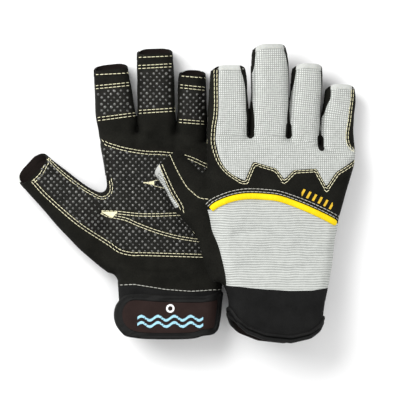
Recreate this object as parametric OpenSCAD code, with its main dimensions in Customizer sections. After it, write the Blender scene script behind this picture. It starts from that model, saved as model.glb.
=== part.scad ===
// A pair of half-finger sailing gloves lying overlapped on a flat surface.
// The left glove lies palm up. The right glove lies palm down, its thumb side resting on the left glove.
// Millimetres. +Z up, +Y from the cuffs to the fingertips, origin at the bottom centre of the pair.

/* [Gloves] */
// Thickness of the synthetic leather and stretch fabric panels
panel_t = 1.2; // [0.9:0.1:1.6]
// Thickness of the neoprene cuff and of the wrist tab
cuff_t = 2; // [1.6:0.1:2.4]
// Thickness of the sewn-on grip patches, label and fastener pads
patch_t = 0.7; // [0.5:0.1:0.9]
// Tilt of the right glove, whose thumb side rests on the left one
right_tilt = 13.5; // [13.5:0.5:16]

/* [Fingers] */
// Length of sleeve between a finger's crotch and its fold line
fold_run = 9; // [8:0.5:11]
// How far the left fingers fold towards the palm, in degrees
flex_left = 70; // [0:5:70]
// How far the right fingers fold back off the surface, in degrees
flex_right = 35; // [0:5:35]
// How much longer a fingertip is at its back than at its palm side
tip_slant = 6; // [0:0.5:7]

/* [Hidden] */
$fn = 32;
gap = 0.3;         // between pieces that lie on each other
fold_gap = 0.35;   // between the two sides of a fold line
round_power = 0.8; // 1 is an ellipse, and smaller is squarer
flat_share = 1.25; // how far a section would reach below the surface it is flattened against
binding_w = 4.5;   // width of the tape round the wrist tab
piping_w = 3.8;    // width of the yellow piping

PARTS = ["back_upper", "knuckle_band", "piping", "back_lower", "palm_panel", "thumb_root", "palm_grip",
         "cuff", "cuff_binding", "loop_pad", "strap_root", "strap", "strap_binding", "strap_label", "hook_pad"];
FINGERS = ["thumb", "index", "middle", "ring", "little"];
FINGER_PARTS = ["back", "sleeve", "grip"];
SIDES = ["left", "right"];
NODES = [for (side = SIDES) each concat(
    [for (part = PARTS) str(side, "_", part)],
    [for (finger = FINGERS, part = FINGER_PARTS) str(side, "_", finger, "_", part)])];
node = "all";

GREY = [0.78, 0.79, 0.78];
BLACK = [0.09, 0.09, 0.085];
SUEDE = [0.13, 0.13, 0.12];
GRIP = [0.2, 0.2, 0.19];
YELLOW = [0.98, 0.82, 0.05];
LABEL = [0.2, 0.13, 0.11];

// ---- The hands. Each row is [y, thumb-side edge, little-finger edge, lowest, highest].
HAND = [
    [[-104, -44, 20, 0, 24], [-97, -47, 22, 0, 24], [-76, -47, 25, 0, 23], [-64, -47.5, 25.5, 0, 21.5],
     [-48, -51, 27, 0, 22], [-27, -53.5, 29.5, 0, 23], [-8, -54.5, 33, 0, 23], [8, -55.5, 38, 0, 22],
     [22, -57.5, 40.5, 0, 20], [42, -60.5, 41, 0, 17.5]],
    [[-107, 28, 89, 6, 29], [-98, 25, 90, 6, 29], [-76, 24.4, 94.3, 6, 28], [-64, 21.2, 96.5, 4, 26],
     [-48, 15.4, 99.4, 1, 24], [-27, 14.3, 101.5, 0, 24], [-8, 13.3, 105.5, 0, 24], [8, 11.8, 111.5, 0, 22],
     [22, 10.2, 114, 0, 20], [42, 9.8, 115, 0, 17.5]]];

// Lines across the hand, each a list of [share of the width from the thumb side, y].
FRONT = [
    [[0, 42.5], [0.5, 42.5], [0.64, 39], [0.78, 33], [1, 32.5]],
    [[0, 39.5], [0.5, 39.5], [0.68, 35], [0.85, 30], [1, 29.5]]];
ZIGZAG = [[0.25, 9.2], [0.307, 20.7], [0.467, 16], [0.525, 8.4], [0.597, 14.4], [0.75, 16],
          [0.825, 2.9], [0.888, 13.9], [0.96, 19]];
BAND_RISE = [[0.045, 34], [0.079, 21.6], [0.166, 14]];
PIPING_LINE = [[0, -9.8], [0.15, -3.9], [0.29, -2.2], [0.48, -3.1], [0.67, -8.1], [0.86, -16.6], [1, -23]];
WRIST_LINE = [[0, -64.5], [0.25, -66.6], [0.6, -68.8], [1, -67]];
HEM_LINE = [
    [[0, -84], [0.05, -90], [0.15, -96], [0.35, -99], [0.65, -99], [0.86, -97], [0.96, -92], [1, -88]],
    [[0, -86], [0.05, -93], [0.15, -99], [0.35, -104], [0.65, -105.5], [0.86, -103], [0.96, -98], [1, -92]]];
hem_w = 4;  // width of the tape round the cuff's hem

// The left and right halves of a section in degrees: 0 is the little-finger edge, 90 on top, 270 underneath.
side_turn = 24;

// ---- The fingers: [base x, base y, tip x, tip y, half width at base, half width at tip, height at base, at tip].
FINGER = [
    [[-47.9, 41.3, -52.7, 87.6, 12.9, 12.2, 17.5, 16.5], [-20.3, 41.3, -22, 100.5, 13.2, 12.8, 17.5, 17],
     [3.8, 37.8, 4.6, 85, 9.9, 9.6, 17, 16], [27.6, 31.5, 27.8, 67, 11.2, 10.4, 13.5, 12.5]],
    [[24.9, 38.5, 24.7, 89.2, 14.4, 12.9, 17.5, 16.5], [55.4, 38.5, 54.6, 103.4, 12.6, 12.5, 17.5, 17],
     [80, 34, 80.4, 90.4, 11.1, 11.5, 17, 16], [103, 28.7, 103.9, 75.8, 11.2, 10.9, 16, 15]]];

// The thumbs, as stations along the sleeve: [run, x, y, turn, half width, lowest, highest].
THUMB = [
    [[0, -55, -34, 90, 33, 5, 16], [23, -70.5, -17, 61, 19.7, 1, 21], [45, -87.5, -2.6, 50, 16, 1, 20],
     [76, -110.2, 18.9, 50, 13.7, 1, 20]],
    [[0, 13, -28, 90, 35, 5, 16], [17.5, 6.5, -11.8, 75, 19.9, 2, 20], [29.5, -0.8, -2.3, 57, 17, 1, 19.5],
     [44, -9.5, 9, 38, 13.5, 1, 18.5], [63.5, -21.5, 24.3, 38, 12.2, 1, 18]]];
THUMB_FOLD = [36, 33];  // run of the thumb's fold line

// ---- Sections and surfaces

function mix(a, b, share) = a + (b - a) * share;
function signed_power(v, power) = sign(v) * pow(abs(v), power);
function column(rows, k) = [for (row = rows) [row[0], row[k]]];

// A point on a sleeve's section, as [across, up]: rounded on top and flattened underneath.
function section(turn, half, low, high) = let (
    middle = mix(low, high, 0.45),
    rise = signed_power(sin(turn), round_power),
    up = rise >= 0 ? mix(middle, high, rise) : max(low, middle + flat_share * rise * (middle - low)))
    [half * signed_power(cos(turn), round_power), up];

// A sleeve is a list of stations along it: [run, x, y, turn, half width, lowest, highest].
function station(sleeve, run) = [for (k = [1:6]) lookup(run, column(sleeve, k))];

// A point on a sleeve, depth below its surface.
function on_sleeve(sleeve, run, turn, depth) = let (
    at = station(sleeve, run),
    p = section(turn, at[3] - depth, at[4] + depth, at[5] - depth))
    [at[0] + p[0] * cos(at[2]), at[1] + p[0] * sin(at[2]), p[1]];

function hand_sleeve(g) = [for (row = HAND[g]) [row[0], (row[1] + row[2]) / 2, row[0], 0,
    (row[2] - row[1]) / 2, row[3], row[4]]];
function finger_sleeve(g, f) = f == 0 ? THUMB[g] : let (
    row = FINGER[g][f - 1],
    aim = atan2(row[3] - row[1], row[2] - row[0]) - 90)
    [[0, row[0], row[1], aim, row[4], 0, row[6]],
     [finger_run(g, f), row[2], row[3], aim, row[5], 0, row[7]]];
function finger_run(g, f) = f == 0 ? THUMB[g][len(THUMB[g]) - 1][0] :
    let (row = FINGER[g][f - 1]) norm([row[2] - row[0], row[3] - row[1]]);
function fold_of(g, f) = f == 0 ? THUMB_FOLD[g] : fold_run;

// The share of the width that a turn of the section lies at, and the turn for a share on the top face.
function share_of(turn) = (1 + signed_power(cos(turn), round_power)) / 2;
function turn_at(share) = acos(signed_power(2 * share - 1, 1 / round_power));
// Mirrors a turn between the top face and the underside.
function onto(face, turn) = face == "top" ? turn : 360 - turn;

// A closed solid over a patch of a sleeve. columns lists [turn, run from, run to] across it.
module patch(sleeve, columns, outer, inner, rows = 3) {
    wide = len(columns);
    deep = rows + 1;
    count = wide * deep;
    rising = columns[wide - 1][0] > columns[0][0];
    points = [for (depth = [outer, inner], c = columns, j = [0:rows])
        on_sleeve(sleeve, mix(c[1], c[2], j / rows), c[0], depth)];
    function skin(i, j) = let (a = i * deep + j, b = a + deep)
        [[a, b, b + 1], [a, b + 1, a + 1], [count + a, count + b + 1, count + b],
         [count + a, count + a + 1, count + b + 1]];
    function side(a, b) = [[a, b + count, b], [a, a + count, b + count]];
    faces = concat(
        [for (i = [0:wide - 2], j = [0:rows - 1]) each skin(i, j)],
        [for (i = [0:wide - 2]) each concat(side(i * deep, (i + 1) * deep),
            side((i + 1) * deep + rows, i * deep + rows))],
        [for (j = [0:rows - 1]) each concat(side(j + 1, j),
            side((wide - 1) * deep + j, (wide - 1) * deep + j + 1))]);
    polyhedron(points, rising ? faces : [for (f = faces) [f[2], f[1], f[0]]]);
}

// Columns over a span of turns, between two lines across the hand, with a margin at each.
function span_columns(turns, low, high, low_margin = 0, high_margin = 0) = [for (turn = turns)
    [turn, lookup(share_of(turn), low) + low_margin, lookup(share_of(turn), high) - high_margin]];
function turns_between(from, to, steps) = [for (i = [0:steps]) mix(from, to, i / steps)];

function back_face(g) = g == 0 ? "bottom" : "top";
function palm_face(g) = g == 0 ? "top" : "bottom";
TOP_TURNS = turns_between(side_turn, 180 - side_turn, 14);
function face_turns(face) = [for (turn = TOP_TURNS) onto(face, turn)];

// ---- The back of the hand

// The black band's upper edge, from the little-finger side to the thumb side.
BAND_TOP = concat(BAND_RISE, ZIGZAG);
function band_turns(g) = [for (i = [len(BAND_TOP) - 1:-1:0]) onto(back_face(g), turn_at(BAND_TOP[i][0]))];

module back_upper(g) color(GREY) {
    patch(hand_sleeve(g), span_columns(band_turns(g), BAND_TOP, FRONT[g]), 0, panel_t, 2);
    for (f = [1:4])
        stub(g, f, face_turns(back_face(g)));
}

module knuckle_band(g) color(BLACK) {
    patch(hand_sleeve(g), span_columns(band_turns(g), PIPING_LINE, BAND_TOP, piping_w / 2 + gap, gap), 0, panel_t);
}

module piping(g) color(YELLOW)
    patch(hand_sleeve(g), span_columns(face_turns(back_face(g)), PIPING_LINE, PIPING_LINE,
        -piping_w / 2, -piping_w / 2 + gap / 3), g == 0 ? 0 : -0.6, panel_t, 1);

module back_lower(g) color(GREY)
    patch(hand_sleeve(g), span_columns(face_turns(back_face(g)), WRIST_LINE, PIPING_LINE,
        gap, piping_w / 2 + gap / 3), 0, panel_t, 4);

// ---- The palm, which wraps round both edges of the hand

// The palm panel's turns, in three runs: thumb edge, palm face and little-finger edge.
function palm_turns(g) = g == 0 ? turns_between(-side_turn + 1, 180 - side_turn, 18) :
    turns_between(180 + side_turn, 360 + side_turn - 1, 18);
function thumb_edge_turns(g) = g == 0 ? turns_between(180 - side_turn, 180 + side_turn - 1, 3) :
    turns_between(180 - side_turn + 1, 180 + side_turn, 3);

module palm_panel(g) color(SUEDE) {
    palm_turns = palm_turns(g);
    patch(hand_sleeve(g), span_columns(palm_turns, WRIST_LINE, FRONT[g], gap), 0, panel_t, 6);
    // the thumb edge, above and below the thumb's root
    root = THUMB[g][0];
    for (run = [[-64, root[2] - root[4] - gap], [root[2] + root[4] + gap, FRONT[g][0][1]]])
        if (run[1] - run[0] > 2)
            patch(hand_sleeve(g), [for (turn = thumb_edge_turns(g)) [turn, run[0], run[1]]], 0, panel_t, 2);
    for (f = [1:4])
        stub(g, f, sleeve_turns(g));
}

// The grip patches on the palm: two fans and a wedge, between lines of [share of width, y].
GRIP_TOP = [[0.07, 33], [0.18, 29], [0.35, 27], [0.6, 25], [0.93, 15]];
GRIP_UPPER_DART = [[0.07, 5], [0.43, 6.5], [0.6, 4.5], [0.93, 0]];
GRIP_LOWER_DART = [[0.07, -13.5], [0.3, -16], [0.7, -17.5], [0.93, -18]];
GRIP_WEDGE = [[0.07, -14.5], [0.3, -20.5], [0.7, -29], [0.93, -37]];
GRIP_FOOT = [[0.07, -37], [0.22, -42], [0.4, -44], [0.93, -45]];
grip_seam = 1.2;  // half the groove between two grip patches

module palm_grip(g) color(GRIP) {
    turns = [for (turn = turns_between(40, 148, 10)) onto(palm_face(g), turn)];
    short_turns = [for (turn = turns_between(40, 128, 8)) onto(palm_face(g), turn)];
    lines = [GRIP_TOP, GRIP_UPPER_DART, GRIP_LOWER_DART, GRIP_WEDGE, GRIP_FOOT];
    for (k = [0:3])
        patch(hand_sleeve(g), span_columns(k == 2 ? short_turns : turns, lines[k + 1], lines[k],
            grip_seam, grip_seam), -gap - patch_t, -gap, 2);
}

// ---- Fingers and thumbs

// The turns that a finger's black sleeve covers: its palm side and both fourchettes.
function sleeve_turns(g) = g == 0 ? turns_between(-side_turn + 1, 180 + side_turn - 1, 16) :
    turns_between(180 - side_turn + 1, 360 + side_turn - 1, 16);

// How far a fold's notch opens at a turn of the section: it lets the finger fold towards its upper face.
function fold_notch(g, f, turn) = let (
    at = station(finger_sleeve(g, f), fold_of(g, f)),
    up = section(turn, at[3], at[4], at[5])[1])
    fold_gap + max(0, up - mix(at[4], at[5], 0.5)) * tan((g == 0 ? flex_left : flex_right) / 2);

// The stretch of a finger's sleeve between the crotch and the fold line.
module stub(g, f, turns) {
    sleeve = finger_sleeve(g, f);
    patch(sleeve, [for (turn = turns) [turn, 0, fold_run - fold_notch(g, f, turn)]], 0, panel_t, 1);
}

// Where a finger's open end lies: slanted, and longest at the back.
function tip_of(g, f, turn) = let (rise = sin(turn) * (g == 0 ? 1 : -1))
    finger_run(g, f) - tip_slant * (1 + rise) / 2;

function finger_columns(g, f, turns) =
    [for (turn = turns) [turn, fold_of(g, f) + fold_notch(g, f, turn), tip_of(g, f, turn)]];

module finger_back(g, f) color(GREY)
    patch(finger_sleeve(g, f), finger_columns(g, f,
        [for (turn = turns_between(side_turn, 180 - side_turn, 8)) onto(back_face(g), turn)]), 0, panel_t, 2);

module finger_grip(g, f) color(GRIP) {
    fold = fold_of(g, f) + fold_notch(g, f, 90);
    patch(finger_sleeve(g, f), [for (turn = turns_between(48, 132, 5))
        [onto(palm_face(g), turn), fold + 1, finger_run(g, f) - tip_slant - 10]],
        -gap - patch_t, -gap, 2);
}

module finger_sleeve_part(g, f) color(SUEDE)
    patch(finger_sleeve(g, f), finger_columns(g, f, sleeve_turns(g)), 0, panel_t, 2);

// The thumb's root is a flared gusset between the hand's edge and the thumb's fold line.
module thumb_root(g) color(BLACK) {
    sleeve = THUMB[g];
    patch(sleeve, [for (turn = turns_between(0, 354, 24))
        [turn, 1, THUMB_FOLD[g] - fold_notch(g, 0, turn)]], 0, panel_t, 3);
}

// ---- Cuff and wrist tab

function ring_turns() = turns_between(1, 359, 32);

module cuff(g) color(BLACK)
    patch(hand_sleeve(g), span_columns(ring_turns(), HEM_LINE[g], WRIST_LINE, hem_w + gap, gap),
        0, cuff_t, 2);

module cuff_binding(g) color(BLACK)
    patch(hand_sleeve(g), [for (turn = ring_turns()) let (y = lookup(share_of(turn), HEM_LINE[g]))
        [turn, y, y + hem_w]], 0, cuff_t + 0.6, 1);

// The wrist tab lies over the palm side of the cuff, from its hinge at the little-finger edge to its round end.
TAB_TOP = [[0, -75], [0.02, -73], [0.06, -72], [0.3, -72.6], [0.8, -74], [0.95, -71.5], [1, -70]];
TAB_FOOT = [
    [[0, -92], [0.02, -96], [0.06, -99], [0.15, -101.5], [0.7, -102.5], [0.85, -101], [1, -96]],
    [[0, -88], [0.02, -92], [0.06, -95], [0.15, -98], [0.7, -99], [0.85, -98], [1, -94]]];
pad_depth = -gap - patch_t;
hook_depth = pad_depth - gap - patch_t;
tab_depth = hook_depth - gap - cuff_t;
label_depth = tab_depth - gap - patch_t;

// A stretch of the tab between two turns, inset from its top and foot.
module tab_patch(g, from, to, steps, top, foot, outer, inner, rows = 2) {
    turns = [for (turn = turns_between(from, to, steps)) onto(palm_face(g), turn)];
    patch(hand_sleeve(g), [for (turn = turns) let (share = share_of(turn))
        [turn, mix(lookup(share, TAB_FOOT[g]) + foot[0], lookup(share, TAB_TOP) - top[0], foot[1]),
         mix(lookup(share, TAB_FOOT[g]) + foot[0], lookup(share, TAB_TOP) - top[0], 1 - top[1])]],
        outer, inner, rows);
}

// Turns of the section where the tab is sewn down, where it bends open and where its free end is.
tab_seam = 16;
tab_root = 36;
tab_end = [176, 139];
end_arc = 8;      // turns taken by the tape round the free end
end_turn = 0.6;   // turns between that tape and the tape along the edges
tape_lift = 0.4;  // how far the tape stands above the tab
fold_turn = 1.2;  // turns left open at the tab's fold

module strap_root(g) color(BLACK)
    tab_patch(g, tab_seam, tab_root - fold_turn, 3, [0, 0], [0, 0], tab_depth, -gap);

module strap(g) color(BLACK)
    tab_patch(g, tab_root, tab_end[g] - end_arc, 14, [binding_w, 0], [binding_w, 0], tab_depth, hook_depth - gap);

// The tape along one long edge of the tab, above a line across the hand.
module edge_tape(g, line, rise)
    patch(hand_sleeve(g), [for (turn = turns_between(tab_root, tab_end[g] - end_arc, 14))
        let (at = onto(palm_face(g), turn), y = lookup(share_of(at), line) + rise)
        [at, y, y + binding_w - gap]], tab_depth - tape_lift, hook_depth - gap, 1);

module strap_binding(g) color(BLACK) {
    edge_tape(g, TAB_FOOT[g], 0);
    edge_tape(g, TAB_TOP, gap - binding_w);
    tab_patch(g, tab_end[g] - end_arc + end_turn, tab_end[g], 2, [0, 0], [0, 0],
        tab_depth - tape_lift, hook_depth - gap);
}

module strap_label(g) color(LABEL)
    tab_patch(g, tab_root + 4, tab_end[g] - 16, 12, [binding_w + 1, 0], [binding_w + 1, 0],
        label_depth, tab_depth - gap);

module hook_pad(g) color(BLACK)
    tab_patch(g, tab_end[g] - 60, tab_end[g] - 16, 5, [binding_w + 1, 0], [binding_w + 1, 0],
        hook_depth, pad_depth - gap);

module loop_pad(g) color(BLACK)
    tab_patch(g, 60, tab_end[g] - 10, 10, [binding_w + 2, 0], [binding_w + 4, 0],
        pad_depth, -2 * gap);

// ---- Assembly

// The left glove lies flat; the right one is tilted about its little-finger edge.
tilt_x = 117;
pair_shift = [0.2, 1];
module place(g)
    translate([pair_shift[0], pair_shift[1], 0])
        if (g == 0)
            children();
        else
            translate([tilt_x, 0, 0]) rotate([0, right_tilt, 0]) translate([-tilt_x, 0, 0]) children();

function shown(name) = node == "all" || node == name;

for (g = [0, 1]) {
    side = SIDES[g];
    place(g) {
        if (shown(str(side, "_back_upper"))) back_upper(g);
        if (shown(str(side, "_knuckle_band"))) knuckle_band(g);
        if (shown(str(side, "_piping"))) piping(g);
        if (shown(str(side, "_back_lower"))) back_lower(g);
        if (shown(str(side, "_palm_panel"))) palm_panel(g);
        if (shown(str(side, "_thumb_root"))) thumb_root(g);
        if (shown(str(side, "_palm_grip"))) palm_grip(g);
        if (shown(str(side, "_cuff"))) cuff(g);
        if (shown(str(side, "_cuff_binding"))) cuff_binding(g);
        if (shown(str(side, "_loop_pad"))) loop_pad(g);
        if (shown(str(side, "_strap_root"))) strap_root(g);
        if (shown(str(side, "_strap"))) strap(g);
        if (shown(str(side, "_strap_binding"))) strap_binding(g);
        if (shown(str(side, "_strap_label"))) strap_label(g);
        if (shown(str(side, "_hook_pad"))) hook_pad(g);
        for (f = [0:4]) {
            if (shown(str(side, "_", FINGERS[f], "_back"))) finger_back(g, f);
            if (shown(str(side, "_", FINGERS[f], "_sleeve"))) finger_sleeve_part(g, f);
            if (shown(str(side, "_", FINGERS[f], "_grip"))) finger_grip(g, f);
        }
    }
}
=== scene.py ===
"""A pair of half-finger sailing gloves: panels, stitching, cuffs and wrist tabs, built round the CAD frame."""
import math
import bpy
import numpy as np
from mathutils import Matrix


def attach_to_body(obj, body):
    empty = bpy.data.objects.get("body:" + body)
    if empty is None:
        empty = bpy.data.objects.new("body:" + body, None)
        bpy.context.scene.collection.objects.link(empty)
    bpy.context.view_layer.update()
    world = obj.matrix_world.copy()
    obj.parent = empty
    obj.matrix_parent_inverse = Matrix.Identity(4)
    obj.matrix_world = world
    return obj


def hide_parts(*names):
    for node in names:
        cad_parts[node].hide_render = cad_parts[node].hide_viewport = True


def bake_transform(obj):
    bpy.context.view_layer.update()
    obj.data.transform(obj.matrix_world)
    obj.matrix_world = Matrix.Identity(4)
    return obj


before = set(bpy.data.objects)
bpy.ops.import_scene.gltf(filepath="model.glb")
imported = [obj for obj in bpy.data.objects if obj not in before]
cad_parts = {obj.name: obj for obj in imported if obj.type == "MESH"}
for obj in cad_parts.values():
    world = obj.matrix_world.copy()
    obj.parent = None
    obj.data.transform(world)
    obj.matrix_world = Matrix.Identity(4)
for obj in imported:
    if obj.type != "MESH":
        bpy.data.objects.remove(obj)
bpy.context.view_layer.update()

MM = 0.001

# ---- Dimensions, in millimetres in each glove's own flat frame: +X towards the little finger, +Y to the tips.

SIDES = ["left", "right"]
FINGERS = ["thumb", "index", "middle", "ring", "little"]
LEFT, RIGHT = 0, 1
TILT = math.radians(13.5)      # of the right glove, which leans on the left one
TILT_X = 117                   # where the right glove's little-finger edge rests
PAIR_SHIFT = (0.2, 1.0, 0.0)

# Each row is [y, thumb-side edge, little-finger edge, lowest, highest].
HAND = [
    [[-112, -43, 19.5, 0, 24], [-104, -44, 19.5, 0, 24], [-97, -47, 21, 0, 24], [-76, -47, 24.2, 0, 23],
     [-64, -47.5, 25.5, 0, 21.5], [-48, -51, 27, 0, 22], [-27, -53.5, 29.5, 0, 23], [-8, -54.5, 33, 0, 23],
     [8, -55.5, 38, 0, 22], [22, -57.5, 40.5, 0, 20], [42, -61, 41, 0, 17.5]],
    [[-114, 27, 87, 6, 29], [-107, 26, 87, 6, 29], [-98, 24, 88.5, 6, 29], [-76, 23.5, 92.2, 6, 28],
     [-64, 20.4, 94.8, 4, 26], [-48, 15.4, 98.3, 1, 24], [-27, 13.3, 101.2, 0, 24], [-8, 12, 105.5, 0, 24],
     [8, 10.8, 111.3, 0, 22], [22, 10.4, 115, 0, 20], [42, 10.3, 116.5, 0, 17.5]]]
# Across the hand at the crotches of the fingers: [share of the width from the thumb side, y].
FRONT = [
    [[0, 42.5], [0.5, 42.5], [0.64, 39], [0.78, 33], [1, 32.5]],
    [[0, 39.5], [0.5, 39.5], [0.68, 35], [0.85, 30], [1, 29.5]]]
WRIST = [
    [[0, -66], [0.15, -65.5], [0.45, -69], [0.7, -70.5], [1, -69]],
    [[0, -65.5], [0.18, -67], [0.35, -68.2], [0.6, -69.2], [0.82, -69], [1, -67]]]
HEM = [
    [[0, -86], [0.05, -93], [0.15, -98.5], [0.35, -100.4], [0.65, -100.4], [0.86, -99], [0.96, -94], [1, -89.5]],
    [[0, -86], [0.05, -93], [0.15, -99], [0.35, -104], [0.65, -106], [0.86, -103], [0.96, -98], [1, -92]]]
# Fingers, from base to tip: stations of [x, y, half width, height].
FINGER = [
    [[[-47.6, 41.3, 13.1, 17.5], [-49, 53, 13.8, 17.2], [-52.9, 89.5, 12.4, 16.5]],
     [[-20.3, 41.3, 13.6, 17.5], [-20.6, 53, 13.4, 17.3], [-22, 100.5, 12.8, 17]],
     [[3.8, 37.8, 10.3, 17], [4.1, 50, 10.5, 16.7], [4.6, 85.5, 9.8, 16]],
     [[27.6, 31.5, 12.4, 13.5], [27.7, 43, 11.8, 13.2], [27.8, 67, 10.4, 12.5]]],
    [[[24.6, 38.5, 14.6, 17.5], [25.4, 59, 14.2, 17.1], [25.1, 72, 13.4, 16.8], [25.1, 89.2, 13.7, 16.5]],
     [[53.4, 38.5, 13.6, 17.5], [54.7, 59, 13.8, 17.3], [55.2, 72, 13, 17.2], [54.6, 104.2, 13.2, 17]],
     [[78.6, 34, 11.4, 17], [79.9, 57, 11.3, 16.6], [81.3, 71, 10.8, 16.3], [82.5, 90.4, 12, 16]],
     [[103, 28.7, 12.5, 16], [103.5, 50, 11.7, 15.4], [105.1, 61, 11.3, 15.2], [106.2, 75.8, 11.6, 15]]]]
# Thumbs: stations of [x, y, turn of the cross-section, half width, lowest, highest].
THUMB = [
    [[-54, -29, 90, 27.5, 5, 16], [-70.5, -17, 61, 19.7, 1, 21], [-87.5, -2.6, 50, 16, 1, 20],
     [-111, 19.8, 50, 13.7, 1, 20]],
    [[13, -28, 90, 35, 5, 16], [6.5, -11.8, 75, 19.9, 2, 20], [-0.8, -2.3, 57, 17, 1, 19.5],
     [-9.5, 9, 38, 13.5, 1, 18.5], [-21.5, 24.3, 38, 12.2, 1, 18]]]
THUMB_ZONE = [[24.5, 44.5], [26, 42]]      # runs along the thumb; its section begins at the first
FINGER_ZONE = [[1.5, 19], [1.5, 19], [3, 19.5], [2.5, 19]]
# The thumb lies below a line from this point, along this outward direction.
THUMB_SIDE = [[[-60, 12], [-0.6, -0.8]], [[8, 18], [-0.67, -0.74]]]
TIP_SLANT = 3.6                # how much longer a finger is at its back than at its palm side
TIP_DIP = [1.3, 2.8]           # how far the rim dips at the fourchettes
PINCH = [0.8, 2.0]             # how much a fingertip narrows on each side

MOTIF_SPAN = [[-34, 12], [46, 78]]
PANEL_T = 1.1
EDGE_R = 9.0                   # rounding of the hand's edges
FINGER_R = 8.0


# ---- Curves and distances

def curve(points, steps=6, closed=False):
    """A smooth curve through the points."""
    p = np.array(points, float)
    if closed:
        p = np.vstack([p[-1], p, p[0], p[1]])
    else:
        p = np.vstack([2 * p[0] - p[1], p, 2 * p[-1] - p[-2]])
    t = (np.arange(steps) / steps)[:, None]
    out = []
    for a, b, c, d in zip(p, p[1:], p[2:], p[3:]):
        out.append(0.5 * (2 * b + (c - a) * t + (2 * a - 5 * b + 4 * c - d) * t ** 2
                          + (3 * b - a - 3 * c + d) * t ** 3))
    if not closed:
        out.append(p[-2:-1])
    return np.vstack(out)


def lookup(table, at, column=1):
    """The table's value at a place in its first column."""
    table = np.asarray(table, float)
    return np.interp(at, table[:, 0], table[:, column])


def distance_to(line, x, y):
    """Distance in plan from each point to a line, and the length along it at the nearest place."""
    best = np.full(np.shape(x), 1e9)
    along = np.zeros(np.shape(x))
    run = 0.0
    for a, b in zip(line, line[1:]):
        ex, ey = b[0] - a[0], b[1] - a[1]
        length = math.hypot(ex, ey)
        if length < 1e-9:
            continue
        t = np.clip(((x - a[0]) * ex + (y - a[1]) * ey) / length ** 2, 0, 1)
        d = np.hypot(x - a[0] - t * ex, y - a[1] - t * ey)
        near = d < best
        best = np.where(near, d, best)
        along = np.where(near, run + t * length, along)
        run += length
    return best, along


def inside_distance(outline, x, y):
    """Distance from the outline, positive inside it."""
    ring = np.vstack([outline, outline[:1]])
    best, _ = distance_to(ring, x, y)
    inside = np.zeros(np.shape(x), bool)
    for a, b in zip(ring, ring[1:]):
        if a[1] == b[1]:
            continue
        crosses = (a[1] > y) != (b[1] > y)
        inside ^= crosses & (x < a[0] + (y - a[1]) * (b[0] - a[0]) / (b[1] - a[1]))
    return np.where(inside, best, -best)


class Plan:
    """Distance inside an outline, looked up from a fine grid."""
    STEP, MARGIN = 0.8, 14.0

    def __init__(self, outline):
        self.outline = np.array(outline, float)
        self.low = self.outline.min(0) - self.MARGIN
        size = np.ceil((self.outline.max(0) + self.MARGIN - self.low) / self.STEP).astype(int) + 1
        gx = self.low[0] + self.STEP * np.arange(size[0])[:, None] + np.zeros(size)
        gy = self.low[1] + self.STEP * np.arange(size[1])[None, :] + np.zeros(size)
        self.grid = inside_distance(self.outline, gx, gy)

    def __call__(self, x, y):
        u = np.clip((x - self.low[0]) / self.STEP, 0, self.grid.shape[0] - 1.001)
        v = np.clip((y - self.low[1]) / self.STEP, 0, self.grid.shape[1] - 1.001)
        i, j = u.astype(int), v.astype(int)
        u, v = u - i, v - j
        g = self.grid
        return (g[i, j] * (1 - u) * (1 - v) + g[i + 1, j] * u * (1 - v)
                + g[i, j + 1] * (1 - u) * v + g[i + 1, j + 1] * u * v)


def smooth_max(a, b, blend):
    overlap = np.maximum(blend - np.abs(a - b), 0) / blend
    return np.maximum(a, b) + overlap ** 2 * blend / 4


def smooth_step(t):
    t = np.clip(t, 0, 1)
    return t * t * (3 - 2 * t)


# ---- One glove's shape, as a field that is positive inside

class Sleeve:
    """A finger or thumb: a tapered strip in plan, with a lowest and a highest side."""

    def __init__(self, stations, radius, pinch=0.0, dip=0.0):
        stations = np.array(stations, float)
        smooth = curve(stations, 8) if len(stations) > 2 else curve(stations, 20)
        self.radius, self.dip = radius, dip
        self.spine = smooth[:, :2]
        steps = np.hypot(*np.diff(self.spine, axis=0).T)
        self.runs = np.concatenate([[0], np.cumsum(steps)])
        self.length = self.runs[-1]
        turn = np.radians(smooth[:, 2])
        narrow = pinch * smooth_step((self.runs - self.length + 16) / 16) ** 1.5
        self.half = smooth[:, 3] - narrow
        self.low, self.high = smooth[:, 4], smooth[:, 5]
        side = np.column_stack([np.cos(turn), np.sin(turn)])
        right = self.spine + side * self.half[:, None]
        left = self.spine - side * self.half[:, None]
        inward = np.array([side[0][1], -side[0][0]]) * 12
        onward = np.array([-side[-1][1], side[-1][0]]) * 12
        taper = side[0] * 2.4
        self.aim = onward / 12
        self.side = side[-1]
        self.plan = Plan(np.vstack([[left[0] + inward + taper], left, [left[-1] + onward, right[-1] + onward],
                                    right[::-1], [right[0] + inward - taper]]))

    def place(self, x, y):
        """Run along the spine and distance across it, positive towards the little finger."""
        extended = np.vstack([2 * self.spine[0] - self.spine[1], self.spine, self.spine[-1] + 20 * self.aim])
        lead = math.dist(extended[0], extended[1])
        _, run = distance_to(extended, x, y)
        run = run - lead
        cx = np.interp(run, np.append(self.runs, self.length + 20), np.append(self.spine[:, 0], extended[-1][0]))
        cy = np.interp(run, np.append(self.runs, self.length + 20), np.append(self.spine[:, 1], extended[-1][1]))
        k = np.clip(np.searchsorted(self.runs, run) - 1, 0, len(self.runs) - 2)
        aim = np.diff(self.spine, axis=0)
        aim = aim / np.hypot(*aim.T)[:, None]
        return run, (x - cx) * aim[k, 1] - (y - cy) * aim[k, 0]

    def heights(self, run):
        return np.interp(run, self.runs, self.low), np.interp(run, self.runs, self.high)

    def point(self, run):
        """The place on the spine at a run."""
        at = np.array([np.interp(run, self.runs, self.spine[:, k]) for k in (0, 1)])
        ahead = np.array([np.interp(run + 1, self.runs, self.spine[:, k]) for k in (0, 1)])
        return at


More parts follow.
